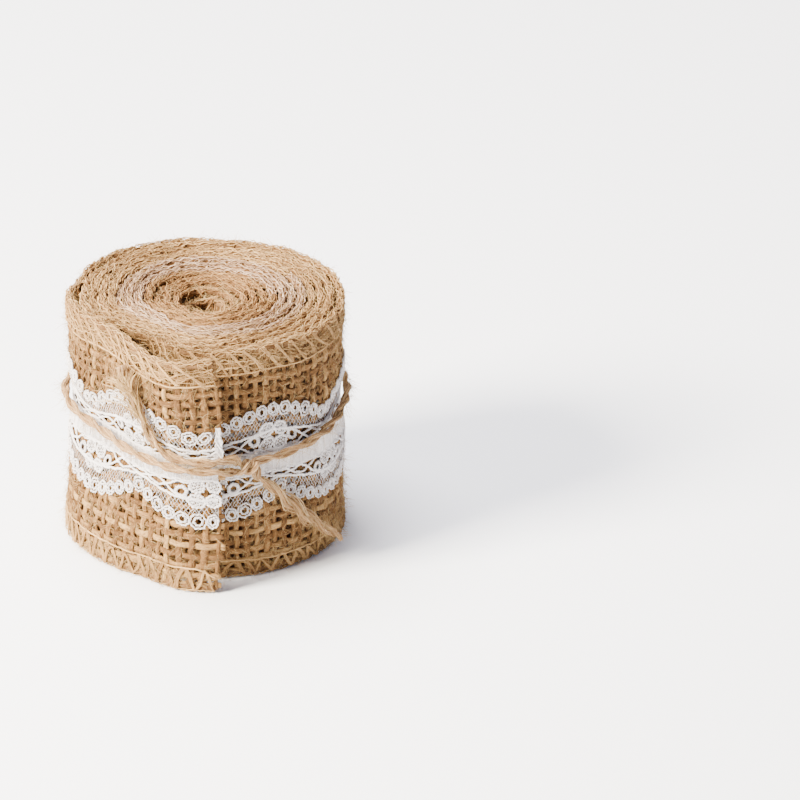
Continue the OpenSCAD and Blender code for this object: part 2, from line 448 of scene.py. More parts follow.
FUZZ = yarn_look("jute_fuzz", (0.28, 0.16, 0.06), (0.46, 0.30, 0.125), (0.66, 0.48, 0.25),
                 0.5, 1.0, 0.00001)


def shaded_cloth_look():
    """The turns inside: burlap in a dark brown that is painted shade, for the shade seen through the holes of
    the weave, with the weave in relief.
    """
    m, tree, shader = material("inner_burlap_painted_shade", (0.36, 0.21, 0.09), 0.95)
    where = attribute(tree, "fibre").outputs["Vector"]
    parts = tree.nodes.new("ShaderNodeSeparateXYZ")
    tree.links.new(where, parts.inputs[0])
    yarns = []
    for axis in (0, 1):
        turn = calculate(tree, "MULTIPLY", parts.outputs[axis], 2 * math.pi / YARN_PITCH)
        yarns.append(calculate(tree, "COSINE", turn))
    noise = tree.nodes.new("ShaderNodeTexNoise")
    noise.inputs["Scale"].default_value = 1.2
    noise.inputs["Detail"].default_value = 6.0
    tree.links.new(where, noise.inputs["Vector"])
    highest = calculate(tree, "MAXIMUM", *yarns)
    shade = calculate(tree, "MULTIPLY_ADD", highest, 0.25, noise.outputs["Fac"])
    # These dark browns are painted shade for what shows through the holes of the weave.
    stops = [(0.25, (0.036, 0.014, 0.004)), (0.6, (0.135, 0.062, 0.02)), (0.85, (0.26, 0.14, 0.052))]
    colour_by(tree, shade, stops, shader)
    raise_by(tree, shade, 1.0, 0.0004, shader)
    return m


# ---- burlap
YARN_PITCH = 2.5
YARN_WIDE = 1.54
YARN_THICK = 0.7
YARN_RISE = 0.25
LUMPS = 0.11
YARN_LIMITS = (0.9, 2.3)
LAST_YARN = 0.6
WARPS = int(RUNNER_W / YARN_PITCH)
SHADED_CLOTH = shaded_cloth_look()


def weft_skin(s0, s1, z0, z1, steps, sides, seed):
    """Yarns across the strip, from height z0 to z1, passing over and under the warps."""
    rng = np.random.default_rng(seed)
    j = np.arange(math.ceil(s0 / YARN_PITCH - 0.5), math.floor(s1 / YARN_PITCH - 0.5) + 1)
    count = int(round((z1 - z0) / YARN_PITCH * steps)) + 1
    z = np.linspace(z0, z1, count)[None, :]
    off = YARN_RISE * np.cos(np.pi * (z / YARN_PITCH - 0.5) + np.pi * j[:, None])
    own = np.array([wave(z[0], 1000 + k, 23) for k in j])
    s = (j[:, None] + 0.5) * YARN_PITCH + 0.24 * own + 0.14 * rng.standard_normal((len(j), 1))
    wide = YARN_WIDE * (1 + 0.16 * np.array([wave(z[0], 3000 + k, 17) for k in j])
                        + 0.14 * rng.standard_normal((len(j), 1)))
    paths = on_strip(s, off, z)
    tone = rng.uniform(0, 1, len(j))
    if s1 == S_END:
        wide[-1] *= LAST_YARN
    return skin_tubes(paths, np.clip(wide, *YARN_LIMITS), YARN_THICK, outward(s), sides, tone, lumps=LUMPS)


def warp_skin(s0, s1, rows, steps, sides, seed, fringe=0.0):
    """Yarns along the strip, in the given rows. They stand out by up to fringe where it is cut."""
    rng = np.random.default_rng(seed)
    rows = np.asarray(rows)
    count = int(round((s1 - s0) / YARN_PITCH * steps)) + 1
    s = np.linspace(s0, s1, count)[None, :] + np.zeros((len(rows), 1))
    if fringe:
        extra = rng.uniform(0.2, fringe, len(rows))[:, None]
        s = s + extra * ease((s - s1 + 4) / 4)
    off = -YARN_RISE * np.cos(np.pi * (s / YARN_PITCH - 0.5) + np.pi * rows[:, None])
    z = (rows[:, None] + 0.5) * YARN_PITCH + 0.25 * np.array([wave(s[0], 5000 + k, 29) for k in rows])
    wide = YARN_WIDE * (1 + 0.18 * np.array([wave(s[0], 7000 + k, 21) for k in rows])
                        + 0.12 * rng.standard_normal((len(rows), 1)))
    paths = on_strip(s, off, z)
    tone = rng.uniform(0, 1, len(rows))
    return skin_tubes(paths, np.clip(wide, *YARN_LIMITS), YARN_THICK, outward(s), sides, tone, lumps=LUMPS)


def ribbon_skin(s0, s1, z0, z1, off0, off1, step=1.5, about=None):
    """A closed flat strip along the winding between two heights, counted from a line about(s) if given."""
    count = max(2, int((s1 - s0) / step))
    s = np.linspace(s0, s1, count)
    rows = np.linspace(z0, z1, 5)
    ring = [(off1, z) for z in rows] + [(off0, z) for z in rows[::-1]]
    base = about(s) if about else 0.0
    verts = np.stack([on_strip(s, off, z + base) for off, z in ring], axis=1)
    n = len(ring)
    i = np.arange(count - 1)[:, None] * n
    k = np.arange(n)[None, :]
    k2 = (k + 1) % n
    faces = np.stack([i + k, i + n + k, i + n + k2, i + k2], axis=-1).reshape(-1, 4).tolist()
    faces.append([k for k in range(n)])
    faces.append([(count - 1) * n + k for k in reversed(range(n))])
    where = np.stack([np.broadcast_to(s[:, None], (count, n)),
                      np.broadcast_to([z for _, z in ring], (count, n)),
                      np.broadcast_to([off for off, _ in ring], (count, n))], axis=-1)
    return verts.reshape(-1, 3), faces, where.reshape(-1, 3), np.full(count * n, 0.5)


# ---- edge stitching
STITCH = 4.1
THREAD = 0.31
TOP_SEAM = 6.1
LOW_SEAM = 5.8
# How far the edge may stand out from the middle of its turn, and next to the turns that slide
BULGE = 1.12
TIGHT = 0.92
SLIDE_BEFORE = 108.0
SLIDE_AFTER = 112.0
# One looper stitch: place along it, share of the seam's depth, share of the distance from the cloth
LOW_LOOP = [(0.0, 1.0, 1.0), (0.32, 0.5, 1.1), (0.59, 0.06, 1.2), (0.65, 0.06, 1.2), (0.82, 0.5, 1.1)]
TOP_LOOP = [(0.0, 1.0, 1.0), (-0.1, 0.5, 0.4), (-0.2, 0.06, 1.2), (-0.14, 0.06, 1.2), (0.43, 0.53, 1.15)]


def seam_z(s, upper):
    """Height of the needle thread, above the base: the stitches are shallower in places."""
    if upper:
        return RUNNER_W - TOP_SEAM + 0.25 * wave(s, 21, 70)
    shallow = 2.3 * hump(s - S_END + 178, 46) + 2.6 * ease((s - S_END + 5) / 6)
    return LOW_SEAM - shallow + 0.2 * wave(s, 22, 70)


def room(s, off):
    """Keeps an edge within its share of the space between turns, and clear of the turns that slide."""
    outer = np.where((s < S_CUT) & (s > S_CUT - SLIDE_BEFORE), TIGHT, BULGE)
    inner = np.where((s > S_CUT) & (s < S_CUT + SLIDE_AFTER), TIGHT, BULGE)
    return np.clip(off, -inner, outer)


def looper_skin(s0, s1, upper, side, shift, steps, sides, seed, loose=0.0):
    """One looper thread between the needle thread and the edge, on the face (side 1) or the back (-1)."""
    rng = np.random.default_rng(seed)
    n = int((s1 - s0) / STITCH) + 1
    loop = np.array(TOP_LOOP if upper else LOW_LOOP)
    s = s0 + STITCH * (np.arange(n)[:, None] + loop[None, :, 0] + 0.25 * (side < 0)) + shift
    s = s + 0.2 * rng.standard_normal(s.shape) + 0.45 * rng.standard_normal((n, 1))
    seam = seam_z(s, upper)
    uneven = 1 + 0.07 * rng.standard_normal(s.shape) + 0.08 * rng.standard_normal((n, 1))
    deep = (RUNNER_W - seam if upper else seam) * loop[None, :, 1] * uneven
    off = side * (FACE + 0.16) * loop[None, :, 2] * (1 + 0.07 * rng.standard_normal(s.shape))
    knots = np.stack([s, deep, off], axis=-1).reshape(-1, 3)
    knots = knots[(knots[:, 0] > s0) & (knots[:, 0] < s1)]
    line = smooth_route(knots, steps)
    s, deep, off = line.T
    s = s + (0.12 * wave(s, seed + int(100 * loose), 3.7) + 0.5 * loose * wave(s, seed, 19))
    path = on_strip(s, room(s, off), RUNNER_W - deep if upper else deep)
    over = 1 - ease(np.abs(deep) / 0.9)[:, None]
    up = outward(s) * side * (1 - over) + (UP if upper else -UP) * over
    tone = rng.uniform(0.3, 0.7) + 0.3 * wave(s, seed, 60)
    wide = THREAD * (1 + 0.15 * wave(s, seed + 7, 5))
    return skin_tubes(path, wide, THREAD * 0.85, up, sides, tone)


def edge_strands(s0, s1, upper, count, seed, step=0.55):
    """Threads that run along the edge, where the loops lock over it."""
    rng = np.random.default_rng(seed)
    s = np.linspace(s0, s1, int((s1 - s0) / step))
    skins = []
    for k in range(count):
        middle = (k + 0.5) / count * 2 - 1
        own = seed + 11 * k
        off = room(s, middle * 0.9 + 0.34 * wave(s, own, 9) + 0.2 * wave(s, own + 1, 3.1))
        lift = 0.42 * (1 - middle ** 2) - 0.2 + 0.4 * wave(s, own + 2, 6)
        z = RUNNER_W + lift if upper else np.maximum(-lift, -0.25)
        path = on_strip(s, off, z)
        tone = rng.uniform(0.1, 0.9) + 0.35 * wave(s, own + 3, 40)
        thin = 0.22 + 0.06 * wave(s, own + 4, 4)
        skins.append(skin_tubes(path, thin, 0.22, UP, 4, tone))
    return skins


def face_strands(s0, s1, count, seed, step=0.5):
    """Slack looper threads that drift along the face of the upper edge."""
    rng = np.random.default_rng(seed)
    s = np.linspace(s0, s1, int((s1 - s0) / step))
    skins = []
    for k in range(count):
        own = seed + 5 * k
        drift = 0.75 * wave(s, own, 17) + 0.3 * wave(s, own + 1, 5)
        deep = 0.5 + 4.6 * (k + 0.5) / count + drift
        off = FACE + 0.28 + 0.14 * wave(s, own + 2, 7)
        tone = rng.uniform(0.2, 0.8) + 0.3 * wave(s, own + 3, 30)
        path = on_strip(s, off, RUNNER_W - np.maximum(deep, 0.1))
        skins.append(skin_tubes(path, 0.26, 0.24, outward(s), 4, tone))
    return skins


def edge_pad(s0, s1, upper, seed, half=1.0):
    """The soft edge itself: frayed ends of the weave held in by the loops."""
    s = np.linspace(s0, s1, int((s1 - s0) / 0.9))
    limit = np.where((s > S_CUT - SLIDE_BEFORE) & (s < S_CUT + SLIDE_AFTER), TIGHT, BULGE)
    width = 2 * np.minimum(half - 0.12 + 0.22 * wave(s, seed, 5) + 0.12 * wave(s, seed + 1, 17), limit)
    middle = 0.06 * wave(s, seed + 2, 11)
    z = RUNNER_W - 0.75 if upper else 0.75
    path = on_strip(s, middle, z + 0.1 * wave(s, seed + 3, 4))
    tone = 0.4 + 0.3 * wave(s, seed + 4, 9)
    return skin_tubes(path, width, 1.5, UP, 8, tone)


def needle_skin(s0, s1, upper):
    """Straight stitches: each one lies on the face and dips in at its ends, with a strand wound round it."""
    s = np.linspace(s0, s1, int((s1 - s0) / STITCH * 10))
    high = np.abs(np.sin(np.pi * (s - s0) / STITCH)) ** 0.4
    off = FACE - 0.2 + 0.42 * high
    z = seam_z(s, upper) + 0.06 * wave(s, 91, 13)
    path = on_strip(s, off, z)
    skins = [skin_tubes(path, 0.4, 0.34, outward(s), 6, 0.6 + 0.3 * wave(s, 92, 30))]
    turn = 2 * np.pi * s / 0.9
    path = on_strip(s, off + 0.15 * np.cos(turn), z + 0.17 * np.sin(turn))
    skins.append(skin_tubes(path, 0.24, 0.24, outward(s), 4, 0.8))
    return skins


def inner_turns(tag, body, s0, s1, weave_z, seed, nodes, thread):
    """Turns inside the roll. nodes says if their pieces stand for the CAD nodes of that body."""
    edge = "core" if body == "core" else "outer"

    def add(part, skins, look, slot, *stands_for):
        return build(f"{tag}_{part}", skins, look, slot, body, *(stands_for if nodes else ()))

    weave = [weft_skin(s0, s1, weave_z, 59.4, 4, 6, seed),
             warp_skin(s0, s1, range(math.ceil(weave_z / YARN_PITCH), WARPS), 4, 6, seed + 1),
             weft_skin(s0, s1, 0.4, 3.0, 3, 5, seed + 2),
             warp_skin(s0, s1, [0], 3, 5, seed + 3)]
    edges = add("edge_yarns", weave, BURLAP, "burlap")
    # A flat ribbon inside the weave, in the cloth's painted shade, shows through the holes of the weave.
    ribbon = ribbon_skin(s0, s1, 0.8, 59.0, -0.26, 0.26)
    cloth = add("cloth", [ribbon], SHADED_CLOTH, "burlap", f"burlap_{edge}")
    threads = [looper_skin(s0, s1, True, side, shift, 2, 4, seed + 4 + k)
               for k, (side, shift) in enumerate(((1, 0.0), (1, 0.4), (-1, 0.0), (-1, 0.4)))]
    threads += edge_strands(s0, s1, True, 6, seed + 9)
    add("top_loopers", threads, thread, "looper_thread", f"face_looper_top_{edge}", f"back_looper_top_{edge}")
    pads = [edge_pad(s0, s1, upper, seed + 40 + upper) for upper in (True, False)]
    add("edge_pads", pads, PADDING, "burlap")
    threads = [looper_skin(s0, s1, False, side, 0.0, 2, 4, seed + 60 + side) for side in (1, -1)]
    threads += edge_strands(s0, s1, False, 2, seed + 64, 1.2)
    add("bottom_loopers", threads, EDGING, "looper_thread", f"face_looper_bottom_{edge}",
        f"back_looper_bottom_{edge}")
    for upper, place in ((True, "top"), (False, "bottom")):
        stitches = needle_skin(s0, s1, upper)[:1]
        add(f"{place}_needle", stitches, NEEDLE, "needle_thread", f"needle_{place}_{edge}")
    band = ribbon_skin(s0, s1, LACE_Z - INNER_LACE, LACE_Z + INNER_LACE, LACE_IN, LACE_OUT - 0.1)
    add("lace", [band], LACE, "lace", *(["lace_core"] if edge == "core" else []))
    if edge == "core":
        stitches = [seam_skin(s0, s1, sign) for sign in (-1, 1)]
        add("lace_seam", stitches, SEAM, "lace_seam_thread", "lace_seam_core")


# ---- lace
LACE_Z = 30.3
INNER_LACE = 9.5
TAPE = 2.75
RIB = 0.375
LACE_OFF = 0.88
# Scallops: their length, and how far the first one's middle is from the cut end, above (1) and below (-1)
SCALLOP = 33.5
FIRST_SCALLOP = {1: 21.2, -1: 2.7}
# Picots to a scallop, and how far they are shifted along it, in their own spacing
PICOTS = 11
PICOT_SHIFT = {1: 0.0, -1: 0.5}
# Rosettes: four large ones at the middle of each scallop, and a small one on either side of them
ROSETTE_COLUMNS = (-1.8, 1.8)
ROSETTE_ROWS = (4.55, 8.35)
SMALL_COLUMNS = (-5.0, 5.0)
SMALL_ROW = 6.0


def lace_z(s):
    """Height of the middle of the lace: the winding isn't quite level."""
    return LACE_Z - 0.9 + 1.9 * ease((s - S_END + 95) / 70)


def scallop_phase(s, sign):
    """0 and 1 at the notches on each side of a scallop, 0.5 at its middle."""
    return ((S_END - s - FIRST_SCALLOP[sign]) / SCALLOP + 0.5) % 1.0


def cord_a(s, sign):
    return TAPE + 0.12 * np.sin(2 * np.pi * s / 4.3 + sign)


def cord_b(s, sign):
    return 4.7 + 3.4 * np.sin(np.pi * scallop_phase(s, sign)) ** 1.5


def between(s, sign, share, beside):
    """A line between the two border cords, which keeps to one side of the rosettes."""
    low, high = cord_a(s, sign), cord_b(s, sign)
    near = np.exp(-((scallop_phase(s, sign) - 0.5) / 0.15) ** 4)
    return low + (high - low) * (share * (1 - near) + beside * near)


def cord_c(s, sign):
    return between(s, sign, 0.5 + 0.34 * np.cos(2 * np.pi * scallop_phase(s, sign) * 3), 1.0)


def cord_d(s, sign):
    return between(s, sign, 0.46 - 0.3 * np.cos(2 * np.pi * scallop_phase(s, sign) * 3), 0.05)


def picot_edge(s, sign):
    return 13.5 - 6.1 * (1 - np.sin(np.pi * scallop_phase(s, sign)))


def seam_skin(s0, s1, sign):
    """Small running stitches that hold the tape to the burlap."""
    s = np.linspace(s0, s1, int((s1 - s0) * 4))
    high = np.abs(np.sin(np.pi * s / 1.9)) ** 0.6
    path = on_strip(s, LACE_OFF - 0.2 + 0.38 * high, lace_z(s) + sign * (TAPE + 0.25))
    return skin_tubes(path, 0.3, 0.26, outward(s), 5, 0.5 + 0.3 * wave(s, 61, 20))


def lace_cord(s0, s1, sign, line, wide):
    """A corded line of the lace: a beady thread, with a finer one wound round it."""
    s = np.linspace(s0, s1, int((s1 - s0) * 5))
    v = line(s, sign) + 0.16 * wave(s, int(1000 * wide), 3.1)
    beads = 1 + 0.2 * np.sin(2 * np.pi * s / 0.8) + 0.2 * wave(s, int(100 * wide), 2.3)
    core = on_strip(s, LACE_OFF, lace_z(s) + sign * v)
    tone = 0.6 + 0.3 * wave(s, 71, 9)
    skins = [skin_tubes(core, wide * beads, 0.42, outward(s), 6, tone, lumps=0.16)]
    turn = 2 * np.pi * s / 0.8
    wound = on_strip(s, LACE_OFF + 0.2 * np.cos(turn), lace_z(s) + sign * v + wide * 0.45 * np.sin(turn))
    skins.append(skin_tubes(wound, 0.24, 0.22, outward(s), 4, 0.8))
    return skins


def rings(places, half_s, half_v, wide, wraps, seed):
    """Oval rings of thread: a core with a finer thread wound round it. places is (s, v) of each middle."""
    rng = np.random.default_rng(seed)
    places = np.asarray(places, float)
    count = len(places)
    t = np.arange(24) * 2 * np.pi / 24
    size = 1 + 0.06 * rng.standard_normal((count, 1))
    lean = 0.14 * rng.standard_normal((count, 1))
    corner = rng.uniform(0, 2 * np.pi, (count, 1))

    def oval(t, grow):
        bent = size * grow * (1 + 0.05 * np.cos(6 * t + corner) + 0.04 * np.cos(2 * t + 2 * corner))
        x, y = half_s * bent * np.cos(t), half_v * bent * np.sin(t)
        return places[:, :1] + x + lean * y, places[:, 1:] + y

    s, v = oval(t, 1.0)
    path = on_strip(s, LACE_OFF - 0.03 + 0.02 * rng.standard_normal((count, 1)), lace_z(s) + v)
    skins = [skin_tubes(path, wide, 0.36, outward(s), 6, rng.uniform(0, 0.5, count), closed=True, lumps=0.12)]
    steps = wraps * 5
    t = np.arange(steps) * 2 * np.pi / steps
    turn = t * wraps + rng.uniform(0, 6, (count, 1))
    s, v = oval(t, 1 + wide * 0.48 * np.cos(turn) / ((half_s + half_v) / 2))
    path = on_strip(s, LACE_OFF + 0.2 * np.sin(turn), lace_z(s) + v)
    fine = min(0.34, 0.66 * wide)
    skins.append(skin_tubes(path, fine, 0.28, outward(s), 4, rng.uniform(0.5, 1, count), closed=True))
    return skins


def net_fill(places, radius, seed, rim=False):
    """Fine threads across a ring, or just round its rim."""
    rng = np.random.default_rng(seed)
    places = np.asarray(places, float)
    paths_s, paths_v = [], []
    u = np.linspace(-1, 1, 5)
    for angle in (0.3, 1.35, 2.4):
        for shift in ((-0.75, 0.75) if rim else (-0.55, 0.0, 0.55)):
            half = radius * math.sqrt(1 - shift * shift)
            c, n = math.cos(angle), math.sin(angle)
            x = u * half * c - shift * radius * n
            y = u * half * n + shift * radius * c
            paths_s.append(places[:, :1] + x + 0.05 * rng.standard_normal((len(places), 1)))
            paths_v.append(places[:, 1:] + y)
    s, v = np.concatenate(paths_s), np.concatenate(paths_v)
    path = on_strip(s, LACE_OFF + 0.03 * np.sin(np.arange(len(s)))[:, None], lace_z(s) + v)
    return skin_tubes(path, 0.2, 0.16, outward(s), 4, rng.uniform(0.4, 1, len(s)))


def scallop_middles(s0, s1, sign):
    first = S_END - FIRST_SCALLOP[sign]
    return [first - k * SCALLOP for k in range(-1, 12) if s0 - 6 < first - k * SCALLOP < s1 + 12]


def picot_places(s0, s1, sign):
    out = []
    for middle in scallop_middles(s0 - 20, s1 + 20, sign):
        for i in range(PICOTS):
            s = middle + (i - (PICOTS - 1) / 2 + PICOT_SHIFT[sign]) * SCALLOP / PICOTS
            if s0 + 1.2 < s < s1 - 0.8:
                out.append((s, sign * picot_edge(s, sign)))
    return out


def rosette_places(s0, s1, sign):
    full, small = [], []
    for middle in scallop_middles(s0, s1, sign):
        for column in ROSETTE_COLUMNS:
            full += [(middle + column, sign * v) for v in ROSETTE_ROWS]
        small += [(middle + column, sign * SMALL_ROW) for column in SMALL_COLUMNS]
    return [[p for p in places if s0 + 1.5 < p[0] < s1 - 0.8] for places in (full, small)]


def tulle(s0, s1, sign, seed):
    """The fine net between the cords and the picots."""
    rng = np.random.default_rng(seed)
    skins = []
    for slant in (-0.6, 0.6):
        base = np.arange(s0 + 0.8, s1 - 0.8, 0.95)
        u = np.linspace(0, 1, 7)[None, :]
        s = np.repeat(base[:, None], 7, axis=1) + 0.1 * rng.standard_normal((len(base), 1))
        low, high = cord_b(s[:, :1], sign), picot_edge(s[:, :1], sign) - 1.0
        v = low + (high - low) * u
        s = np.clip(s + slant * (v - low) + 0.12 * np.sin(v * 5), s0, s1)
        path = on_strip(s, LACE_OFF - 0.12 + 0.03 * np.cos(v * 7), lace_z(s) + sign * v)
        skins.append(skin_tubes(path, 0.1, 0.08, outward(s), 3, rng.uniform(0.4, 1, len(base))))
    return skins


def tape_skins(s0, s1, seed):
    """The dense tape: fine ribs across it, on a thin ground."""
    rng = np.random.default_rng(seed)
    base = np.arange(s0 + 0.1, s1 - 0.1, RIB)
    v = np.linspace(-TAPE, TAPE, 9)[None, :]
    s = base[:, None] + 0.07 * np.sin(v * 4.2 + base[:, None]) + 0.03 * rng.standard_normal((len(base), 9))
    s = np.clip(s, s0, s1)
    path = on_strip(s, LACE_OFF + 0.05 + 0.03 * rng.standard_normal((len(base), 1)), lace_z(s) + v)
    wide = 0.27 * (1 + 0.3 * np.sin(v * 9 + base[:, None] * 3))
    ribs = skin_tubes(path, wide, 0.26, outward(s), 5, rng.uniform(0.2, 1, len(base)))
    return [ribs, ribbon_skin(s0, s1, -TAPE, TAPE, 0.7, 0.8, 1.0, lace_z)]


def lace_end():
    """Where the lace is cut: loose threads of the net stand a little beyond the burlap."""
    v = np.linspace(-1.0, 11.0, 36)[None, :]
    beyond = np.linspace(-0.9, 1.5, 8)[:, None]
    stray = 0.16 * np.sin(v * 2.4 + 2 * beyond) + 0.1 * np.sin(v * 5.3 + 5 * beyond)
    s = S_END + beyond * (1 - v / 16) + stray
    path = on_strip(s, LACE_OFF + 0.12 * np.sin(v * 3 + 4 * beyond), lace_z(S_END) + v)
    wide = 0.36 + 0.1 * np.sin(v * 6)
    return skin_tubes(path, wide, 0.3, outward(s), 5, np.linspace(0.2, 0.9, 8), lumps=0.2)


# ---- twine
KNOT_ANGLE = FLAP_A + KNOT_T
CLEAR_R = PROUD + TIE_GAP + TWINE_R
BRIDGE_R = float(wound_r(END_A - 330.0)) + CLEAR_R
BRIDGE_A = math.degrees(math.acos(BRIDGE_R / (float(wound_r(END_A)) + CLEAR_R)))
TIE_SINK = 0.94 * WAIST - 0.05
LAY = 15.0
STRANDS = 15
FIBRE_LAY = 24.0
SPLAY = 16.0


def tie_point(t):
    """Points on the loop's middle line, at angles past the free end. It bridges the step there."""
    t = np.asarray(t, float)
    bridge = BRIDGE_R / np.cos(np.radians(BRIDGE_A - t))
    r = np.where(t < BRIDGE_A, bridge, wound_r(END_A - 360 + t) + CLEAR_R)
    angle = (FLAP_A + t) % 360
    xy = polar(r - TIE_SINK * held_in(angle), FLAP_A + t)
    return np.stack([xy[..., 0], xy[..., 1], twine_height(angle)], axis=-1)


KNOT = tie_point(KNOT_T)
KNOT_AXES = np.array([[*polar(1.0, KNOT_ANGLE + 90), 0], [0, 0, 1], [*polar(1.0, KNOT_ANGLE), 0]])


def knot_strand(first):
    """Points of one of the two strands that twist once round each other, from left to right."""
    x = np.linspace(-2.3, 2.3, 9)
    turn = np.radians(first - 360 * (x + 2.3) / 4.6)
    local = np.stack([x, 1.12 * np.cos(turn), 0.15 + 1.12 * np.sin(turn)], axis=-1)
    return KNOT + local @ KNOT_AXES


def twine_line():
    """The whole twine as one line, and where each part of it starts."""
    loop = np.arange(27.0, 363.0, 5.0)
    parts = [np.array(LEFT_ROUTE[::-1]), knot_strand(0.0), tie_point(loop)]
    parts += [knot_strand(180.0), np.array(RIGHT_ROUTE)]
    line = smooth_route(np.concatenate(parts), 12)
    step = np.concatenate([[0], np.cumsum(np.linalg.norm(np.diff(line, axis=0), axis=1))])
    counts = np.cumsum([0] + [len(p) for p in parts])
    marks = [step[min(int(c) * 12, len(step) - 1)] for c in counts]
    even = np.arange(0, step[-1], 0.3)
    line = np.stack([np.interp(even, step, line[:, i]) for i in range(3)], axis=-1)
    return even, line, marks


def transported(line):
    """A normal along the line that doesn't spin about it."""
    ahead = unit(np.gradient(line, axis=0))
    normal = np.zeros_like(line)
    n = unit(np.cross(ahead[0], [0.3, 0.2, 1.0]))
    for i, t in enumerate(ahead):
        n = n - t * np.dot(n, t)
        n = n / np.linalg.norm(n)
        normal[i] = n
    return ahead, normal, np.cross(ahead, normal)


TWINE_AT, TWINE_LINE, TWINE_MARKS = twine_line()
TWINE_AHEAD, TWINE_N, TWINE_B = transported(TWINE_LINE)
LEFT_TIP, LEFT_ROOT, WRAP_FROM, WRAP_TO, RIGHT_ROOT = TWINE_MARKS[:5]
RIGHT_TIP = TWINE_AT[-1]


def around(angle, i=slice(None)):
    """Directions across the twine at its points i, each at an angle about it."""
    return np.cos(angle)[:, None] * TWINE_N[i] + np.sin(angle)[:, None] * TWINE_B[i]


def points_at(places):
    return np.interp(places, TWINE_AT, np.arange(len(TWINE_AT))).astype(int)


def twine_skins(start, end, seed, fray_at=None, fray=0.0):
    """Two plies of loose strands between two places on the twine, splayed near a free end."""
    rng = np.random.default_rng(seed)
    pick = (TWINE_AT >= start) & (TWINE_AT <= end)
    skins = []
    apart = np.zeros(len(TWINE_AT))
    radial = unit(TWINE_LINE * np.array([1.0, 1.0, 0.0]))
    sideways = unit(np.cross(TWINE_AHEAD, radial))
    if fray_at is not None:
        apart = ease(1 - np.abs(TWINE_AT - fray_at) / SPLAY)
    for ply in range(2):
        turn = 2 * np.pi * TWINE_AT / LAY + np.pi * ply
        ply_at = TWINE_LINE + AXIS3 + (0.56 + fray * 0.5 * apart)[:, None] * around(turn)
        skins.append(skin_tubes(ply_at[pick], 1.0, 1.0, TWINE_N[pick], 7, 0.2))
        for strand in range(STRANDS):
            own = rng.uniform(0, 2 * np.pi)
            key = strand + STRANDS * ply
            spin = 2 * np.pi * (strand / STRANDS - TWINE_AT / FIBRE_LAY) + turn
            spin = spin + 0.4 * wave(TWINE_AT, seed * 50 + key, 12)
            out = 0.44 + 0.1 * wave(TWINE_AT, seed * 90 + key, 7)
            path = ply_at + out[:, None] * around(spin)
            path = path + (fray * apart * rng.uniform(-2.2, 2.2))[:, None] * sideways
            wide = 0.27 * (1 + 0.3 * wave(TWINE_AT, 7 * seed + key, 6)) * (1 - 0.4 * apart)
            tone = np.clip(0.5 + 0.5 * rng.standard_normal() + 0.2 * np.sin(own + TWINE_AT / 9), 0, 1)
            skins.append(skin_tubes(path[pick], wide[pick], 0.24, TWINE_N[pick], 4, tone[pick]))
    return skins


def hairs(roots, directions, lengths, seed, thick=0.05):
    """Stray fibres: short curved threads from their roots, thinner towards the tip."""
    rng = np.random.default_rng(seed)
    count = len(roots)
    side = unit(np.cross(directions, rng.standard_normal((count, 3))))
    bend = rng.uniform(-0.7, 0.7, (count, 1))
    u = np.linspace(0, 1, 5)
    path = (roots[:, None] + directions[:, None] * (lengths[:, None] * u)[..., None]
            + side[:, None] * (lengths[:, None] * bend * u ** 2)[..., None])
    path[..., 2] = np.maximum(path[..., 2] - 0.25 * lengths[:, None] * u ** 2, 0.1)
    across = thick * (1.1 - 0.6 * u)
    return skin_tubes(path, across, across, side[:, None], 3, rng.uniform(0, 1, count))


def twine_hairs(start, end, density, seed):
    """Stray fibres of the twine, so many to a millimetre. None points into the roll."""
    rng = np.random.default_rng(seed)
    count = int((end - start) * density)
    i = points_at(rng.uniform(start, end, count))
    out = around(rng.uniform(0, 2 * np.pi, count), i)
    inward = np.sum(out[:, :2] * unit(TWINE_LINE[i][:, :2]), axis=1)
    out[inward < 0.0] *= -1
    way = np.where(rng.uniform(size=count) < 0.5, 1, -1)[:, None]
    directions = unit(out * rng.uniform(0.3, 1.0, (count, 1)) + way * TWINE_AHEAD[i])
    return hairs(TWINE_LINE[i] + AXIS3 + out * 1.0, directions, rng.uniform(0.8, 3.6, count), seed + 1, 0.07)


def brush(count, seed):
    """The loose fibres that the left tail's cut end opens into. The twine's line starts at that end."""
    rng = np.random.default_rng(seed)
    back_off = rng.uniform(1.0, 15.0, count)
    i = points_at(back_off)
    ahead = -TWINE_AHEAD[i]
    out = unit(TWINE_LINE[i] * np.array([1.0, 1.0, 0.0]))
    sideways = unit(np.cross(ahead, out))
    lean = rng.uniform(-1, 1, (count, 1))
    directions = unit(ahead + 0.22 * lean * sideways + 0.1 * out)
    roots = TWINE_LINE[i] + AXIS3 + 0.9 * lean * sideways + out * rng.uniform(0.3, 1.0, (count, 1))
    return hairs(roots, directions, np.minimum(back_off + rng.uniform(-1.5, 0.6, count), 11), seed + 1, 0.2)


def cloth_hairs(s0, s1, count, seed, heights=None):
    """Stray fibres on the face of the cloth between two heights, or else along its upper edge."""
    rng = np.random.default_rng(seed)
    s = rng.uniform(s0, s1, count)
    z = rng.uniform(*heights, count) if heights else np.full(count, RUNNER_W + 0.2)
    off = 0.58 if heights else rng.uniform(-0.3, 0.3, count)
    roots = on_strip(s, off, z)
    out = outward(s)
    along = np.stack([-out[:, 1], out[:, 0], np.zeros(count)], axis=-1)
    spread = rng.standard_normal((count, 3))
    if heights:
        directions = unit(out * (0.08 + 0.22 * np.abs(spread[:, :1])) + along * spread[:, 1:2] * 0.8
                          + UP * spread[:, 2:] * 0.8)
    else:
        directions = unit(UP * 0.3 + out * spread[:, :1] * 0.5 + along * spread[:, 1:2] * 1.4)
    return hairs(roots, directions, rng.uniform(0.8, 3.4, count), seed + 1, 0.07)


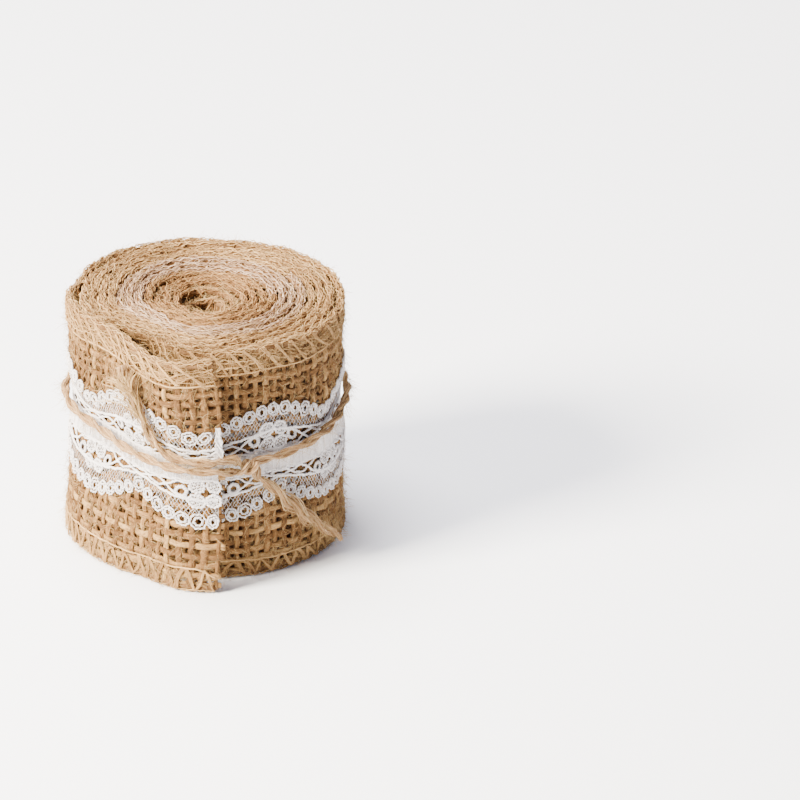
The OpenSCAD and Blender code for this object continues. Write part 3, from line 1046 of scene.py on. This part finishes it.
# ---- camera, lights and floor
# The view that part.scad was measured in: from far away, so that its scale is even over the roll
PX_PER_MM = 4.15
FRAME_PX = 800
LOOK_DOWN = 25.4
LOOK_AT = (46.3, 0.0, 32.2)
AWAY = 3000.0
SENSOR = 36.0
camera = bpy.data.objects.new("camera", bpy.data.cameras.new("camera"))
bpy.context.scene.collection.objects.link(camera)
bpy.context.scene.camera = camera
rise = math.radians(LOOK_DOWN)
target = Vector(AXIS3) + Vector(LOOK_AT)
back = Vector((0.0, -math.cos(rise), math.sin(rise)))
camera.location = (target + back * AWAY) * MM
camera.rotation_mode = "QUATERNION"
camera.rotation_quaternion = (-back).to_track_quat("-Z", "Y")
camera.data.sensor_width = SENSOR
camera.data.lens = SENSOR * AWAY / (FRAME_PX / PX_PER_MM)
camera.data.clip_end = 30

# ---- the twine's pieces
# Each tail: its two ends along the twine, where its strands splay most and how much, and two seeds
TAILS = {"tail_left": (LEFT_TIP, LEFT_ROOT, LEFT_TIP, 0.75, 5, 40),
         "tail_right": (RIGHT_ROOT, RIGHT_TIP, RIGHT_TIP - SPLAY, 0.62, 6, 42)}
for tail, (start, end, splayed, fray, seed, hair_seed) in TAILS.items():
    strands = twine_skins(start, end, seed, splayed, fray)
    strand = build(tail + "_plies", strands, JUTE, "twine", tail, tail)
    loose = [twine_hairs(start, end, 6.0, hair_seed)]
    if tail == "tail_left":
        loose.append(brush(100, 50))
    fuzz = build(tail + "_fuzz", loose, FUZZ, "twine", tail)
    pick = (TWINE_AT >= start) & (TWINE_AT <= end)
    path = (TWINE_LINE + AXIS3)[pick] * MM
    if tail == "tail_left":
        path = path[::-1]

strands = twine_skins(WRAP_FROM + 1.5, WRAP_TO - 1.5, 1)
build("wrap_plies", strands, JUTE, "twine", "tie", "twine_wrap")
build("wrap_fuzz", [twine_hairs(WRAP_FROM, WRAP_TO, 4.0, 44)], FUZZ, "twine", "tie")
strands = twine_skins(LEFT_ROOT - 1.5, WRAP_FROM + 1.5, 2)
strands += twine_skins(WRAP_TO - 1.5, RIGHT_ROOT + 1.5, 3)
build("knot_strands", strands, JUTE, "twine", "tie", "knot")
loose = [twine_hairs(LEFT_ROOT + 4.0, WRAP_FROM, 1.5, 46), twine_hairs(WRAP_TO, RIGHT_ROOT - 3.0, 1.5, 48)]
build("knot_fuzz", loose, FUZZ, "twine", "tie")

# ---- the turns inside
inner_turns("core", "core", 0.0, S_CUT, 51.0, 100, True, BROWN)
inner_turns("ramp", "ramp", S_CUT, S_RAMP, 43.0, 200, False, PALE)
inner_turns("middle", "roll", S_RAMP, S_PALE, 54.0, 300, True, PALE)
inner_turns("outer", "roll", S_PALE, S_LAST, 54.0, 800, True, EDGING)

# ---- the last turn
yarns = weft_skin(S_LAST, S_END, 0.2, 59.6, 4, 8, 400)
wefts = build("last_wefts", [yarns], BURLAP, "burlap", "roll", "burlap_outer")
yarns = warp_skin(S_LAST, S_END + 0.4, range(WARPS), 4, 8, 401, 1.4)
warps = build("last_warps", [yarns], BURLAP, "burlap", "roll")
for upper, place in ((True, "top"), (False, "bottom")):
    threads = [looper_skin(S_LAST, S_END, upper, way, shift, 4, 6, 410 + 10 * way + upper, shift)
               for way, shift in ((1, 0.0), (1, 0.26), (1, 0.52), (-1, 0.0), (-1, 0.38))]
    threads += edge_strands(S_LAST, S_END, upper, 6, 460 + upper, 0.4)
    if upper:
        threads += face_strands(S_LAST, S_END, 6, 900)
    build(f"last_{place}_loopers", threads, EDGING, "looper_thread", "roll", f"face_looper_{place}_outer",
          f"back_looper_{place}_outer")
    pad = edge_pad(S_LAST, S_END, upper, 480 + upper, 0.95 if upper else 0.8)
    build(f"last_{place}_pad", [pad], PADDING, "burlap", "roll")
    stitches = needle_skin(S_LAST, S_END, upper)
    build(f"last_{place}_needle", stitches, NEEDLE, "needle_thread", "roll", f"needle_{place}_outer")

build("lace_tape", tape_skins(S_LAST, S_END, 500), LACE, "lace", "roll", "lace_tape_outer")
stitches = [seam_skin(S_LAST, S_END, sign) for sign in (-1, 1)]
build("lace_seams", stitches, SEAM, "lace_seam_thread", "roll", "lace_seam_outer")
for sign, side in ((1, "upper"), (-1, "lower")):
    skins = []
    for line, wide in ((cord_a, 0.5), (cord_b, 0.66), (cord_c, 0.56), (cord_d, 0.5)):
        skins += lace_cord(S_LAST, S_END, sign, line, wide)
    if sign > 0:
        skins.append(lace_end())
    build(f"lace_{side}_cords", skins, LACE, "lace", "roll", f"lace_{side}_outer")
    full, small = rosette_places(S_LACE, S_END, sign)
    skins = rings(full, 1.52, 1.56, 0.56, 13, 510 + sign) + [net_fill(full, 1.4, 520 + sign)]
    skins += rings(small, 1.05, 1.15, 0.8, 14, 530 + sign)
    build(f"lace_{side}_rosettes", skins, LACE, "lace", "roll")
    build(f"lace_{side}_net", tulle(S_LACE, S_END, sign, 540 + sign), LACE, "lace", "roll")
    places = picot_places(S_LACE, S_END, sign)
    skins = rings(places, 1.38, 1.66, 0.36, 11, 550 + sign)
    skins += rings(places, 0.68, 0.92, 0.34, 7, 550 + sign)
    skins.append(net_fill(places, 1.2, 560 + sign, True))
    build(f"lace_{side}_picots", skins, LACE, "lace", "roll", f"picots_{side}")

# ---- stray fibres of the cloth
pocket = cloth_hairs(length_at(END_A - 436), length_at(END_A - 362), 2600, 690, (52.5, 60.6))
build("pocket_fuzz", [pocket], BURLAP, "burlap", "roll")
bands = ((0.5, 21.0, 3000), (39.0, 59.8, 3000), (0.3, 6.0, 1600), (54.0, 60.0, 1600))
for k, (low, high, count) in enumerate(bands):
    fibres = cloth_hairs(S_END - 215, S_END, count, 600 + 10 * k, (low, high))
    build(f"cloth_fuzz_{k}", [fibres], FUZZ, "burlap", "roll")
build("last_top_fuzz", [cloth_hairs(S_LAST, S_END, 700, 702)], FUZZ, "burlap", "roll")
build("middle_top_fuzz", [cloth_hairs(S_CUT + 125, S_LAST, 1400, 704)], FUZZ, "burlap", "roll")
fibres = [cloth_hairs(0, S_CUT, 600, 706), cloth_hairs(0, 60, 420, 708)]
build("core_top_fuzz", fibres, FUZZ, "burlap", "core")

# ---- floor and light
floor_mesh = bpy.data.meshes.new("floor")
floor_mesh.from_pydata([(-3, -3, 0), (3, -3, 0), (3, 3, 0), (-3, 3, 0)], [], [(0, 1, 2, 3)])
floor = bpy.data.objects.new("floor", floor_mesh)
bpy.context.scene.collection.objects.link(floor)
floor_mesh.materials.append(material("floor", (0.91, 0.94, 0.99), 0.8)[0])


def area_light(name, place, size, watts, colour):
    """A square lamp aimed at the middle of the roll."""
    data = bpy.data.lights.new(name, "AREA")
    data.size = size
    data.energy = watts
    data.color = colour
    lamp = bpy.data.objects.new(name, data)
    bpy.context.scene.collection.objects.link(lamp)
    lamp.location = place
    lamp.rotation_mode = "QUATERNION"
    lamp.rotation_quaternion = (Vector(place) - Vector((0, 0, 0.03))).to_track_quat("Z", "Y")


area_light("key", (-0.82, -0.42, 0.62), 0.35, 99.0, (1.0, 0.905, 0.76))
area_light("top", (-0.25, 0.25, 1.1), 0.8, 42.0, (1.0, 0.96, 0.95))
world = bpy.data.worlds.new("world")
bpy.context.scene.world = world
world.use_nodes = True
world.node_tree.nodes["Background"].inputs["Color"].default_value = (0.84, 0.83, 1.0, 1)
world.node_tree.nodes["Background"].inputs["Strength"].default_value = 0.46
